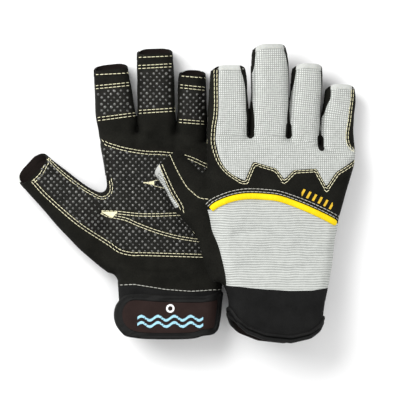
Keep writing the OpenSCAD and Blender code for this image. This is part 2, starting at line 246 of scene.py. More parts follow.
def rounded(d, z, low, high, radius):
    """A flat shape with rounded edges, from its distance in plan and its two heights."""
    half = (high - low) / 2
    radius = np.minimum(radius, half * 0.98)
    side = np.maximum(radius - d, 0)
    rise = np.maximum(radius - (half - np.abs(z - (low + high) / 2)), 0)
    return radius - np.sqrt(side ** 2 + rise ** 2)


class Glove:
    def __init__(self, g):
        self.g = g
        self.name = SIDES[g]
        self.back = 1 if g == RIGHT else -1      # which way the back of the hand faces
        rows = np.array(HAND[g], float)
        table = curve(rows, 6)
        self.rows = table[np.argsort(table[:, 0])]
        sides = self.rows[self.rows[:, 0] < 41]
        front = [[self.x_at(share, y), y] for share, y in FRONT[g]]
        self.hand = Plan(np.vstack([sides[:, [1, 0]], front, sides[::-1][:, [2, 0]]]))
        self.sleeves = [Sleeve(THUMB[g], FINGER_R + 0.6, pinch=0.6, dip=1.0)]
        for stations in FINGER[g]:
            (bx, by), (tx, ty) = stations[0][:2], stations[-1][:2]
            turn = math.degrees(math.atan2(ty - by, tx - bx)) - 90
            self.sleeves.append(Sleeve([[x, y, turn, half, 0, high] for x, y, half, high in stations],
                                       FINGER_R, PINCH[g], TIP_DIP[g]))

    def edges(self, y):
        return lookup(self.rows, y, 1), lookup(self.rows, y, 2)

    def share(self, x, y):
        low, high = self.edges(y)
        return (x - low) / (high - low)

    def x_at(self, share, y):
        low, high = self.edges(y)
        return low + share * (high - low)

    def hand_heights(self, y):
        return lookup(self.rows, y, 3), lookup(self.rows, y, 4)

    def hand_field(self, x, y, z):
        low, high = self.hand_heights(y)
        return rounded(self.hand(x, y), z, low, high, EDGE_R)

    def sleeve_field(self, f, x, y, z):
        sleeve = self.sleeves[f]
        run, _ = sleeve.place(x, y)
        low, high = sleeve.heights(run)
        return rounded(sleeve.plan(x, y), z, low, high, sleeve.radius)

    def field(self, x, y, z, fingers=(0, 1, 2, 3, 4)):
        value = self.hand_field(x, y, z)
        for f in fingers:
            value = smooth_max(value, self.sleeve_field(f, x, y, z), 7 if f == 0 else 1.0)
        return value

    def middle(self, x, y):
        """The mid-height of whichever part holds each point, blended where parts meet."""
        low, high = self.hand_heights(y)
        weight = np.exp(np.clip(self.hand(x, y), -12, 12))
        total, mid = weight.copy(), weight * (low + high) / 2
        for sleeve in self.sleeves:
            low, high = sleeve.heights(sleeve.place(x, y)[0])
            weight = np.exp(np.clip(sleeve.plan(x, y), -12, 12))
            total, mid = total + weight, mid + weight * (low + high) / 2
        return mid / total

    def up(self, p):
        """Height above the middle, positive on the back of the hand."""
        return self.back * (p[:, 2] - self.middle(p[:, 0], p[:, 1]))

    # Where each part begins, as functions that are positive inside it
    def in_cuff(self, p):
        return lookup(WRIST[self.g], self.share(p[:, 0], p[:, 1])) - p[:, 1]

    def past_hem(self, p):
        return lookup(HEM[self.g], self.share(p[:, 0], p[:, 1])) - p[:, 1]

    def in_fingers(self, p):
        return p[:, 1] - lookup(FRONT[self.g], self.share(p[:, 0], p[:, 1]))

    def in_thumb(self, p):
        (x0, y0), (nx, ny) = THUMB_SIDE[self.g]
        run, _ = self.sleeves[0].place(p[:, 0], p[:, 1])
        return np.minimum(run - THUMB_ZONE[self.g][0], (p[:, 0] - x0) * nx + (p[:, 1] - y0) * ny)

    def past_tip(self, f, p):
        sleeve = self.sleeves[f]
        run, _ = sleeve.place(p[:, 0], p[:, 1])
        low, high = sleeve.heights(run)
        level = self.back * (2 * (p[:, 2] - low) / (high - low) - 1)
        shorter = TIP_SLANT * (1 - level) / 2 + sleeve.dip * np.exp(-(level / 0.7) ** 2)
        if f == 0:
            shorter = shorter + 2.5 * (1 - level)
        return run - (sleeve.length - shorter)

    def to_frame(self, p):
        """Glove millimetres to metres in the frame."""
        p = np.atleast_2d(np.array(p, float))
        if self.g == LEFT:
            p[:, 2] = np.maximum(p[:, 2], 0.0)
        else:
            x, z = p[:, 0] - TILT_X, p[:, 2]
            p = np.column_stack([TILT_X + x * math.cos(TILT) + z * math.sin(TILT), p[:, 1],
                                 z * math.cos(TILT) - x * math.sin(TILT)])
        return (p + PAIR_SHIFT) * MM


# ---- Meshing

def surface_net(field, low, high, step):
    """The surface where the field is zero, as vertices and triangles."""
    axes = [np.arange(low[k], high[k] + step, step) for k in range(3)]
    value = field(axes[0][:, None, None], axes[1][None, :, None], axes[2][None, None, :])
    value = np.ascontiguousarray(np.broadcast_to(value, [len(a) for a in axes]))
    cells = [n - 1 for n in value.shape]
    total, count = np.zeros(cells + [3]), np.zeros(cells)
    for axis in range(3):
        others = [k for k in range(3) if k != axis]
        for a in (0, 1):
            for b in (0, 1):
                start = [0, 0, 0]
                start[others[0]], start[others[1]] = a, b
                end = list(start)
                end[axis] = 1
                v0 = value[tuple(slice(s, s + n) for s, n in zip(start, cells))]
                v1 = value[tuple(slice(s, s + n) for s, n in zip(end, cells))]
                cross = (v0 > 0) != (v1 > 0)
                total[..., axis] += np.where(cross, v0 / np.where(cross, v0 - v1, 1), 0)
                for k in others:
                    total[..., k] += cross * start[k]
                count += cross
    active = count > 0
    index = np.full(cells, -1)
    index[active] = np.arange(active.sum())
    verts = (np.argwhere(active) + total[active] / count[active][:, None]) * step + np.array(low)
    inside = value > 0
    quads = []
    for axis in range(3):
        u, v = (axis + 1) % 3, (axis + 2) % 3
        core = [slice(1, -1)] * 3
        first, second = list(core), list(core)
        first[axis], second[axis] = slice(0, -1), slice(1, None)
        a, b = inside[tuple(first)], inside[tuple(second)]
        at = np.argwhere(a != b)
        solid_first = a[a != b]
        at[:, u] += 1
        at[:, v] += 1
        ring = []
        for du, dv in ((-1, -1), (0, -1), (0, 0), (-1, 0)):
            cell = at.copy()
            cell[:, u] += du
            cell[:, v] += dv
            ring.append(index[cell[:, 0], cell[:, 1], cell[:, 2]])
        ring = np.column_stack(ring)
        ring[~solid_first] = ring[~solid_first][:, ::-1]
        quads.append(ring)
    quads = np.vstack(quads)
    return verts, np.vstack([quads[:, [0, 1, 2]], quads[:, [0, 2, 3]]])


def outward(field, p, reach=0.3):
    """The surface's outward normal at each point, and the field's value there."""
    grad = np.zeros_like(p)
    for k in range(3):
        ahead, behind = p.copy(), p.copy()
        ahead[:, k] += reach
        behind[:, k] -= reach
        grad[:, k] = (field(*ahead.T) - field(*behind.T)) / (2 * reach)
    size = np.linalg.norm(grad, axis=1)
    return -grad / np.maximum(size, 1e-6)[:, None], np.maximum(size, 0.3)


def onto_surface(field, p, rounds=3):
    for _ in range(rounds):
        normal, size = outward(field, p)
        step = np.clip(field(*p.T) / size, -1.5, 1.5)
        p = p + normal * step[:, None]
    return p, outward(field, p)[0]


class Patch:
    """A piece of skin: shared points and normals, and its own triangles."""

    def __init__(self, pos, nor, tri):
        self.pos, self.nor, self.tri = pos, nor, tri

    def cut(self, function):
        """Two patches, where the function is positive and where it isn't, with one border."""
        value = function(self.pos)
        value = np.where(np.abs(value) < 1e-6, 1e-6, value)
        inside = value[self.tri] > 0
        count = inside.sum(1)
        mixed = (count == 1) | (count == 2)
        alone = np.where(count[mixed] == 1, inside[mixed].argmax(1), (~inside[mixed]).argmax(1))
        rolled = np.take_along_axis(self.tri[mixed], (alone[:, None] + [0, 1, 2]) % 3, axis=1)
        a, b, c = rolled.T if len(rolled) else (np.zeros(0, int),) * 3
        pairs = np.sort(np.vstack([np.column_stack([a, b]), np.column_stack([a, c])]), axis=1)
        unique, inverse = np.unique(pairs, axis=0, return_inverse=True)
        inverse = inverse.ravel()
        i, j = unique.T if len(unique) else (np.zeros(0, int),) * 2
        t = np.clip(value[i] / (value[i] - value[j]), 0.04, 0.96)[:, None]
        pos = np.vstack([self.pos, self.pos[i] * (1 - t) + self.pos[j] * t])
        nor = np.vstack([self.nor, self.nor[i] * (1 - t) + self.nor[j] * t])
        nor = nor / np.linalg.norm(nor, axis=1)[:, None]
        ab, ac = len(self.pos) + inverse[:len(a)], len(self.pos) + inverse[len(a):]
        corner = np.column_stack([a, ab, ac])
        rest = np.vstack([np.column_stack([ab, b, c]), np.column_stack([ab, c, ac])])
        single = count[mixed] == 1
        both = np.concatenate([single, single])
        kept = np.vstack([self.tri[count == 3], corner[single], rest[~both]])
        other = np.vstack([self.tri[count == 0], corner[~single], rest[both]])
        return Patch(pos, nor, kept), Patch(pos, nor, other)

    def packed(self):
        """The same patch with only the points that it uses."""
        used, tri = np.unique(self.tri, return_inverse=True)
        return Patch(self.pos[used], self.nor[used], tri.reshape(-1, 3))


def border_edges(tri):
    """The directed edges that only one triangle uses."""
    edges = np.vstack([tri[:, [0, 1]], tri[:, [1, 2]], tri[:, [2, 0]]])
    _, first, count = np.unique(np.sort(edges, axis=1), axis=0, return_index=True, return_counts=True)
    return edges[first[count == 1]]


def make_object(name, verts, faces, materials, face_slots=None, cloth=None, angle=40):
    mesh = bpy.data.meshes.new(name)
    mesh.from_pydata(np.asarray(verts).tolist(), [], [list(map(int, f)) for f in faces])
    mesh.polygons.foreach_set("use_smooth", [True] * len(mesh.polygons))
    for material in materials:
        mesh.materials.append(material)
    if face_slots is not None:
        mesh.polygons.foreach_set("material_index", np.asarray(face_slots, int).tolist())
    if cloth is not None:
        layer = mesh.attributes.new("cloth", "FLOAT_VECTOR", "POINT")
        layer.data.foreach_set("vector", np.asarray(cloth, float).ravel())
    mesh.update()
    mesh.set_sharp_from_angle(angle=math.radians(angle))
    obj = bpy.data.objects.new(name, mesh)
    bpy.context.scene.collection.objects.link(obj)
    return obj


def attach(obj, glove, section, replaces=()):
    """Rides the piece on the hand's body, or, for a finger or the strap, bakes its placement into its mesh; hides the
    parts it replaces.
    """
    hand = f"{glove.name}_hand"
    if section in FINGERS:
        f = FINGERS.index(section)
        zone = THUMB_ZONE[glove.g] if f == 0 else FINGER_ZONE[f - 1]
        mid = np.mean(glove.sleeves[f].heights(zone[0]))
        ends = [glove.to_frame([*glove.sleeves[f].point(run), mid])[0] for run in zone]
        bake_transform(obj)
    elif section == "strap":
        ends = [glove.to_frame([glove.x_at(share, -85), -85, 12])[0] for share in STRAP_BEND]
        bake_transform(obj)
    else:
        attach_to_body(obj, hand)
    if replaces:
        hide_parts(*replaces)


def cloth_frame(glove, section, p):
    """Coordinates along the cloth's weave, in millimetres."""
    if section in FINGERS:
        run, across = glove.sleeves[FINGERS.index(section)].place(p[:, 0], p[:, 1])
        return np.column_stack([across, run, p[:, 2]])
    return p.copy()


def panel(glove, name, patch, section, materials, replaces=(), lift=0.0, thick=PANEL_T):
    """A panel of cloth: an outer skin, an inner one and its cut edges."""
    patch = patch.packed()
    p = patch.pos + patch.nor * (glove.relief(patch.pos, patch.nor) + lift)[:, None]
    inner = patch.pos + patch.nor * (glove.relief(patch.pos, patch.nor) + lift - thick)[:, None]
    if glove.g == LEFT:
        p[:, 2] = np.maximum(p[:, 2], 0.02)
        inner[:, 2] = np.maximum(inner[:, 2], 0.5)
    n = len(p)
    edge = border_edges(patch.tri)
    walls = np.vstack([np.column_stack([edge[:, 1], edge[:, 0], edge[:, 0] + n]),
                       np.column_stack([edge[:, 1], edge[:, 0] + n, edge[:, 1] + n])])
    faces = np.vstack([patch.tri, patch.tri[:, ::-1] + n, walls])
    slots = np.concatenate([np.zeros(len(patch.tri)), np.ones(len(patch.tri)), np.zeros(len(walls))])
    cloth = cloth_frame(glove, section, patch.pos)
    obj = make_object(f"{glove.name}_{name}", glove.to_frame(np.vstack([p, inner])), faces, materials, slots,
                      np.vstack([cloth, cloth]))
    attach(obj, glove, section, replaces)
    return obj


# ---- Pattern lines. Those of the back are the right glove's, those of the palm the left one's.

PATTERN_EASE = 2.1             # how far the back's lines shift towards the little finger, at the fingers


def eased(points, by=PATTERN_EASE):
    """Lines of the back moved towards the little finger, not at all at mid-hand and fully at the fingers."""
    return [[x + by * float(smooth_step(y / 36)), y, *rest] for x, y, *rest in points]


GREY_HAND = eased([[12, 60], [12, 42], [12, 36], [12.5, 32], [14, 26], [16.5, 20.5], [20.5, 15.5], [26, 11.5],
                   [33.5, 8]])
ZIGZAG = eased([[33.5, 8], [39, 21.5], [56, 16.5], [62, 9], [68.5, 15.5], [85, 16.5], [92.5, 4], [99, 14],
                [112.5, 22.5]])
GREY_FINGERS = [eased(outline) for outline in [
    [[14, 105], [14.5, 88], [14, 75], [14, 61], [13.5, 52], [12.5, 45], [12, 38], [12.5, 22], [37.5, 22], [37.5, 38],
     [34.7, 43.5], [34.5, 52], [34, 57.5], [34, 67], [32.5, 77], [31, 82.5], [29, 90], [27, 105]],
    [[43, 118], [42, 103], [41, 91], [39.5, 80], [39, 71.5], [39.5, 61.5], [40, 53], [40.3, 43.5], [37.5, 38],
     [37.5, 22], [65, 22], [65, 38], [63.5, 43.5], [63.5, 52], [65, 61], [65.5, 71.5], [65, 82], [63.5, 92.5],
     [61, 103], [59, 118]],
    [[72.5, 105], [71.5, 90], [70, 78.5], [69, 73], [67.5, 67], [66.5, 61.5], [66.5, 53], [67, 43.5], [65, 38],
     [65, 20], [88, 20], [88, 28.5], [86.5, 33.5], [88, 43.5], [88.5, 52], [88.5, 64.5], [89, 75], [88, 90],
     [86.5, 105]],
    [[97, 90], [96, 75.5], [95.5, 66], [93.5, 61.5], [91.5, 56], [89.5, 50.5], [89, 43.5], [90, 33.5], [88, 28.5],
     [88, 15], [112, 15], [111, 29], [107, 33], [106.2, 39], [107.5, 50.5], [108.5, 57.5], [110, 67], [111, 76],
     [112, 90]]]]
# The dark gussets at the crotches: [x, y of the rounded end, half width].
GUSSETS = eased([[37.5, 37.5, 2.7], [65, 37.3, 2.5], [88.4, 28.5, 2.4]])
GREY_THUMB = [[-36, 32], [-40, 18], [-30, 2], [-25, -8], [-18, -14], [-13.5, -11], [-12.5, -10], [-17.5, -2],
              [-22, 7], [-24.5, 14], [-28.5, 24]]
PIPING = [[9.5, -12.5], [13.5, -9], [21.5, -5.5], [30.5, -3.5], [39, -3], [48.5, -3.5], [59, -5], [73.5, -10],
          [88.5, -16.5], [99.5, -22]]
LOWER_EDGE = [[6, -8], [9, -17.5], [11, -26.5], [14.5, -36], [17, -45.5], [20, -59], [21.5, -72]]
INDEX_SEAM = eased([[14.3, 86], [14, 75], [14, 61], [13.5, 52], [12.5, 45], [12, 38], [12.5, 32], [14, 26],
                    [16.5, 20.5], [20.5, 15.5], [26, 11.5], [32.5, 7.5]])
LITTLE_SEAM = eased([[110.3, 72], [110, 67], [108.5, 57.5], [107.5, 50.5], [106, 39], [107.5, 31.5], [111.5, 27.5]],
                    PATTERN_EASE / 2)
THUMB_DOUBLE = [[-27, 22], [-21.5, 10], [-16.5, -0.5], [-11, -10], [-10, -14.5]]
THUMB_SINGLE = [[-19.5, 26.5], [-13.5, 14], [-7.5, 4], [-3.5, 0], [1.5, -4], [8, -5]]
PIPING_W = 4.4

PALM_TOP = [[-60, 35.6], [-52.8, 32.8], [-42.5, 29.8], [-28, 27.5], [-16, 27], [0.5, 24.5], [15.5, 18], [38, 9]]
UPPER_DART = [[-30, 6.5], [-24, 7.7], [-17, 8.2], [-2, 8.5]]
UPPER_DART_FOOT = [[-30, 6.5], [-24, 4.7], [-17, 3], [-2, 0]]
DART_UPPER = [[-59.5, -14], [-49.5, -14.3], [-42.5, -15], [-32, -16], [-18, -16], [-5, -15.5]]
DART_LOWER = [[-59.5, -14], [-54.5, -16.5], [-42.5, -19], [-32, -23.5], [-18, -28.5], [-4, -32], [9.5, -34],
              [28, -36]]
PALM_FOOT = [[-107.5, 8], [-98.5, -2], [-82.5, -16.5], [-73, -24], [-61.5, -31.5], [-52.5, -37], [-46, -41.5],
             [-37, -43.5], [-28, -43.5], [19.5, -45], [29, -45.5]]
THUMB_TOP = [[-96, 24.5], [-90.5, 19], [-82, 11.5], [-71.5, 3.5], [-61.5, -2], [-57.5, -2.5], [-54, 0], [-53.5, 4],
             [-54.5, 9]]
THUMB_RIM = [[-97, 25], [-100, 20.5], [-103.5, 14], [-108.5, 9]]
# Along each left finger: lower seam, upper seam and hem, each at its thumb-side and little-finger edges.
SEAM_RUNS = [[12.2, 12.8, 34.5, 34.3, 42.3, 40.9], [16.1, 17.1, 47.5, 48.2, 53.2, 53.6], [13, 11.6, 37.3, 35.4, 43.4, 42],
             [9, 8, 26, 25, 31, 30.3]]
CREASES = [[[-34.5, 45], [-34.5, 30]], [[-7.5, 45], [-7.5, 29]], [[-46, -50], [-30, -56], [-8, -57]],
           [[-62, -34], [-52, -50], [-48, -60]], [[4, 30], [16, 24]]]
BACK_CREASES = [[[30, -52], [52, -56], [78, -53]], [[26, -30], [44, -27], [60, -33]], [[70, -38], [84, -44], [96, -42]]]
STRAP = [
    [[-38, -72], [-18, -73], [3, -73.5], [14.5, -73], [24, -69.5], [24.5, -76], [21.7, -96], [11.5, -100.7],
     [1.5, -102.8], [-28, -102.8], [-39, -100.8], [-44.8, -95], [-46.6, -86], [-44.5, -77]],
    [[36, -73.5], [58, -73.5], [78, -73], [90, -71], [90.5, -78], [88, -94], [78, -97.5], [60, -98.5], [42, -98.5],
     [34, -95], [31.5, -86], [32.5, -77]]]
LABEL_END = 0.945
GRIP_END = 0.955               # share of the width where the printed grip stops
STRAP_HINGE = 0.972            # share of the width where a tab meets its root
TAB_SINK = 2.8                 # how far a tab flattens towards its root
STRAP_BEND = (0.985, 0.86)     # shares of the width of two points on the strap, one in its root and one in the tab


def carry(points, source, target):
    """A pattern line of one glove moved to the same place on the other."""
    points = np.array(points, float)
    if source is target:
        return points
    p3 = np.column_stack([points, np.zeros(len(points))])
    d = np.array([s.plan(points[:, 0], points[:, 1]) for s in source.sleeves])
    out = []
    for k, (x, y) in enumerate(points):
        f = int(np.argmax(d[1:, k])) + 1
        if source.in_thumb(p3[k:k + 1])[0] > 0:
            f = 0
        elif source.in_fingers(p3[k:k + 1])[0] <= 0:
            f = None
        if f is None:
            out.append([target.x_at(source.share(x, y), y), y])
            continue
        a, b = source.sleeves[f], target.sleeves[f]
        run, across = (float(v[0]) for v in a.place(np.array([x]), np.array([y])))
        if f == 0:
            run2 = THUMB_ZONE[target.g][0] + (run - THUMB_ZONE[source.g][0]) * (
                (b.length - THUMB_ZONE[target.g][0]) / (a.length - THUMB_ZONE[source.g][0]))
        else:
            run2 = run * b.length / a.length if run > 0 else run
        out.append(b.lay(across / np.interp(run, a.runs, a.half), run2))
    return np.array(out)


def lay(sleeve, share, run):
    """The point at a run along the sleeve and a share of its half width across it."""
    k = min(max(np.searchsorted(sleeve.runs, run) - 1, 0), len(sleeve.runs) - 2)
    aim = sleeve.spine[k + 1] - sleeve.spine[k]
    aim = aim / np.hypot(*aim)
    base = sleeve.spine[k] + aim * (run - sleeve.runs[k])
    return base + share * np.interp(run, sleeve.runs, sleeve.half) * np.array([aim[1], -aim[0]])


Sleeve.lay = lay


def relief(self, pos, nor):
    """How far the cloth stands in or out of its plain shape."""
    x, y, z = pos.T
    wave = (np.sin(x / 7.1 + 1.7 * np.sin(y / 12.3)) * np.sin(y / 8.7 + 0.9 * np.sin(x / 10.1) + z / 6)
            + 0.6 * np.sin(x / 3.9 + y / 5.3 + 2.1 * np.sin(y / 9.7 + z / 7)))
    value = 0.26 * wave
    above = self.up(pos)
    for side, lines in ((1, self.back_seams), (-1, self.palm_seams)):
        for line, depth, width in lines:
            best, _ = distance_to(line, x, y)
            value -= depth * np.exp(-(best / width) ** 2) * (side * above > -1)
    return value


Glove.relief = relief


def on_surface(glove, xy, side, field=None):
    """Points on the back (side 1) or the palm (side -1) above places in plan, with their normals."""
    field = field or glove.field
    xy = np.array(xy, float)
    mid = glove.middle(xy[:, 0], xy[:, 1])
    near, far = mid.copy(), mid + side * glove.back * 30
    good = field(xy[:, 0], xy[:, 1], mid) > 0.6
    for _ in range(18):
        z = (near + far) / 2
        solid = field(xy[:, 0], xy[:, 1], z) > 0
        near, far = np.where(solid, z, near), np.where(solid, far, z)
    p = np.column_stack([xy, near])
    return p, outward(field, p)[0], good


def section_of(glove, p):
    """The section of the glove that each point belongs to: 0 to 4 for the digits, 5 for the hand."""
    d = np.array([s.plan(p[:, 0], p[:, 1]) for s in glove.sleeves[1:]])
    out = np.where(glove.in_fingers(p) > 0, d.argmax(0) + 1, 5)
    return np.where(glove.in_thumb(p) > 0, 0, out)


def resample(line, pitch):
    line = np.asarray(line, float)
    runs = np.concatenate([[0], np.cumsum(np.hypot(*np.diff(line, axis=0).T))])
    at = np.arange(pitch / 2, runs[-1], pitch)
    return np.column_stack([np.interp(at, runs, line[:, k]) for k in (0, 1)])


def beside(line, d):
    """The line moved sideways, to its right when d is positive."""
    line = np.asarray(line, float)
    aim = np.gradient(line, axis=0)
    aim = aim / np.maximum(np.hypot(*aim.T), 1e-9)[:, None]
    return line + d * np.column_stack([aim[:, 1], -aim[:, 0]])


def mitred(line, d):
    """The line moved to its right, with its corners kept sharp."""
    line = np.asarray(line, float)
    step = np.diff(line, axis=0)
    step /= np.hypot(*step.T)[:, None]
    normal = np.column_stack([step[:, 1], -step[:, 0]])
    out = [line[0] + d * normal[0]]
    for k in range(1, len(line) - 1):
        both = normal[k - 1] + normal[k]
        out.append(line[k] + d * both * 2 / max(both @ both, 0.5))
    return np.array(out + [line[-1] + d * normal[-1]])


STITCH_L, STITCH_PITCH, STITCH_R = 2.6, 2.95, 0.22


class Stitching:
    """Collects stitches as small rounded bars, one object for each section of a glove."""

    def __init__(self, glove):
        self.glove, self.parts = glove, {}

    def bar(self, key, centre, normal, aim, length, radius):
        across = np.cross(normal, aim)
        verts, faces = self.parts.setdefault(key, ([], []))
        start = len(verts)
        for at, size in ((-0.5, 0.35), (-0.32, 1), (0.32, 1), (0.5, 0.35)):
            for k in range(6):
                turn = k * math.pi / 3
                verts.append(centre + aim * at * length + radius * size * (
                    across * math.cos(turn) + normal * (math.sin(turn) * 0.8 + 0.25)))
        for ring in range(3):
            for k in range(6):
                a, b = start + ring * 6 + k, start + ring * 6 + (k + 1) % 6
                faces.append((a, b, b + 6, a + 6))
        faces.append(tuple(start + k for k in range(5, -1, -1)))
        faces.append(tuple(start + 18 + k for k in range(6)))

    def run(self, line, side, lift=None, pitch=STITCH_PITCH, length=STITCH_L, radius=STITCH_R, pale=False):
        lift = lift or (0.3 if side > 0 else 0.6)
        at = resample(line, pitch)
        if len(at) < 2:
            return
        p, normal, good = on_surface(self.glove, at, side)
        aim = np.gradient(at, axis=0)
        sections = section_of(self.glove, p)
        rise = self.glove.relief(p, normal) + lift
        for k in range(len(at)):
            if not good[k] or self.glove.past_hem(p[k:k + 1])[0] > -1:
                continue
            if sections[k] < 5 and self.glove.past_tip(sections[k], p[k:k + 1])[0] > -0.6:
                continue
            a = np.array([*aim[k], 0.0])
            a -= normal[k] * (a @ normal[k])
            a /= max(np.linalg.norm(a), 1e-9)
            centre = p[k] + normal[k] * rise[k]
            self.bar((sections[k], pale), centre, normal[k], a, length, radius)

    def tack(self, tip, base_a, base_b, side, rows=9):
        """A triangle of dense bars."""
        for t in np.linspace(0.08, 1, rows):
            a, b = (np.array(tip) * (1 - t) + np.array(q) * t for q in (base_a, base_b))
            p, normal, _ = on_surface(self.glove, np.array([(a + b) / 2]), side)
            aim = np.array([*(b - a), 0.0])
            aim = aim / max(np.linalg.norm(aim), 1e-9)
            rise = self.glove.relief(p, normal)[0] + 0.75
            key = (section_of(self.glove, p)[0], False)
            self.bar(key, p[0] + normal[0] * rise, normal[0], aim, max(np.hypot(*(b - a)), 1.0), 0.42)

    def build(self, thread, pale_thread):
        for (section, pale), (verts, faces) in self.parts.items():
            name = "hand" if section == 5 else FINGERS[section]
            obj = make_object(f"{self.glove.name}_{name}_{'pale_' if pale else ''}stitches",
                              self.glove.to_frame(np.array(verts)), faces, [pale_thread if pale else thread])
            attach(obj, self.glove, name)


DOT_PITCH, DOT_ROW, DOT_R, DOT_RISE = 4.4, 2.3, 1.15, 0.75


def dome(verts, faces, centre, normal, radius, rise):
    aim = np.cross(normal, [0.0, 1.0, 0.2])
    aim /= np.linalg.norm(aim)
    across = np.cross(normal, aim)
    start = len(verts)
    for size, high in ((1.0, -0.15), (0.86, 0.55), (0.5, 0.9)):
        for k in range(8):
            turn = k * math.pi / 4
            verts.append(centre + radius * size * (aim * math.cos(turn) + across * math.sin(turn)) + normal * rise * high)
    verts.append(centre + normal * rise)
    for ring in range(2):
        for k in range(8):
            a, b = start + ring * 8 + k, start + ring * 8 + (k + 1) % 8
            faces.append((a, b, b + 8, a + 8))
    for k in range(8):
        faces.append((start + 16 + k, start + 16 + (k + 1) % 8, start + 24))


def grip_dots(glove, inside, box, rng):
    """Raised dots in a diamond lattice over a palm-side region, by section."""
    x0, y0, x1, y1 = box
    at = []
    for row, y in enumerate(np.arange(y0, y1, DOT_ROW)):
        for x in np.arange(x0 + (row % 2) * DOT_PITCH / 2, x1, DOT_PITCH):
            at.append([x + rng.normal(0, 0.12), y + rng.normal(0, 0.1)])
    at = np.array(at)
    at = at[inside(at[:, 0], at[:, 1]) > DOT_R + 0.3]
    p, normal, good = on_surface(glove, at, -1)
    steep = np.abs(normal[:, 2]) > 0.28
    rise = glove.relief(p, normal)
    sections = section_of(glove, p)
    parts = {}
    for k in np.flatnonzero(good & steep):
        verts, faces = parts.setdefault(int(sections[k]), ([], []))
        dome(verts, faces, p[k] + normal[k] * (rise[k] + GRIP_LIFT), normal[k], DOT_R * rng.uniform(0.8, 1.05), DOT_RISE)
    return parts


GRIP_LIFT = 0.45


# ---- Materials

def node_material(name, color, rough=0.8):
    material = bpy.data.materials.new(name)
    material.use_nodes = True
    shader = material.node_tree.nodes["Principled BSDF"]
    shader.inputs["Base Color"].default_value = (*color, 1)
    shader.inputs["Roughness"].default_value = rough
    shader.inputs["Specular IOR Level"].default_value = 0.1
    return material, material.node_tree.nodes, material.node_tree.links, shader


def cloth_coords(nodes):
    at = nodes.new("ShaderNodeAttribute")
    at.attribute_name = "cloth"
    return at.outputs["Vector"]


def waves(nodes, links, coords, direction, pitch, distortion=0.0):
    wave = nodes.new("ShaderNodeTexWave")
    wave.bands_direction = direction
    wave.inputs["Scale"].default_value = 2 * math.pi / 20 / pitch
    wave.inputs["Distortion"].default_value = distortion
    wave.inputs["Detail"].default_value = 1.0
    wave.inputs["Detail Scale"].default_value = 0.4
    links.new(coords, wave.inputs["Vector"])
    return wave.outputs["Fac"]


def noise(nodes, links, coords, scale, detail=3.0):
    tex = nodes.new("ShaderNodeTexNoise")
    tex.inputs["Scale"].default_value = scale
    tex.inputs["Detail"].default_value = detail
    links.new(coords, tex.inputs["Vector"])
    return tex.outputs["Fac"]


def maths(nodes, links, operation, a, b):
    node = nodes.new("ShaderNodeMath")
    node.operation = operation
    for socket, value in zip(node.inputs, (a, b)):
        if isinstance(value, (int, float)):
            socket.default_value = value
        else:
            links.new(value, socket)
    return node.outputs[0]


def tint(nodes, links, shader, fac, dark, light, low=0.0, high=1.0):
    ramp = nodes.new("ShaderNodeValToRGB")
    ramp.color_ramp.elements[0].position = low
    ramp.color_ramp.elements[0].color = (*dark, 1)
    ramp.color_ramp.elements[1].position = high
    ramp.color_ramp.elements[1].color = (*light, 1)
    links.new(fac, ramp.inputs["Fac"])
    links.new(ramp.outputs["Color"], shader.inputs["Base Color"])


def bump(nodes, links, shader, height, distance, strength=1.0):
    node = nodes.new("ShaderNodeBump")
    node.inputs["Strength"].default_value = strength
    node.inputs["Distance"].default_value = distance * MM
    links.new(height, node.inputs["Height"])
    links.new(node.outputs["Normal"], shader.inputs["Normal"])


def mesh_cloth():
    """Pale grey cloth with a fine square grid."""
    material, nodes, links, shader = node_material("grey_mesh", (0.6, 0.61, 0.62), 0.9)
    coords = cloth_coords(nodes)
    grid = maths(nodes, links, "MULTIPLY", waves(nodes, links, coords, "X", 1.5, 1.2),
                 waves(nodes, links, coords, "Y", 1.5, 1.6))
    speckle = noise(nodes, links, coords, 0.55, 4)
    value = maths(nodes, links, "ADD", maths(nodes, links, "MULTIPLY", grid, 0.75),
                  maths(nodes, links, "MULTIPLY", speckle, 0.35))
    tint(nodes, links, shader, value, (0.22, 0.23, 0.215), (0.64, 0.655, 0.63), 0.1, 0.75)
    bump(nodes, links, shader, grid, 0.25, 0.7)
    return material


def ribbed_cloth():
    """Pale grey cloth with fine ribs across the hand."""
    material, nodes, links, shader = node_material("grey_ribs", (0.62, 0.63, 0.64), 0.9)
    coords = cloth_coords(nodes)
    ribs = waves(nodes, links, coords, "Y", 1.7, 3.2)
    value = maths(nodes, links, "ADD", maths(nodes, links, "MULTIPLY", ribs, 0.7),
                  maths(nodes, links, "MULTIPLY", noise(nodes, links, coords, 0.3, 4), 0.5))
    tint(nodes, links, shader, value, (0.27, 0.28, 0.265), (0.52, 0.535, 0.51), 0.15, 0.85)
    bump(nodes, links, shader, ribs, 0.35, 0.8)
    return material


def dark_cloth(name, dark, light, rough, grain, depth):
    material, nodes, links, shader = node_material(name, dark, rough)
    coords = cloth_coords(nodes)
    fine = noise(nodes, links, coords, grain, 5)
    broad = noise(nodes, links, coords, 0.09, 3)
    value = maths(nodes, links, "ADD", maths(nodes, links, "MULTIPLY", fine, 0.6),
                  maths(nodes, links, "MULTIPLY", broad, 0.6))
    tint(nodes, links, shader, value, dark, light, 0.35, 0.85)
    bump(nodes, links, shader, fine, depth, 0.8)
    return material


def plain(name, color, rough):
    material, nodes, links, shader = node_material(name, color, rough)
    coords = nodes.new("ShaderNodeTexCoord").outputs["Object"]
    grain = noise(nodes, links, coords, 900, 3)
    tint(nodes, links, shader, grain, tuple(0.8 * c for c in color), tuple(min(1.15 * c, 1) for c in color), 0.3, 0.7)
    return material


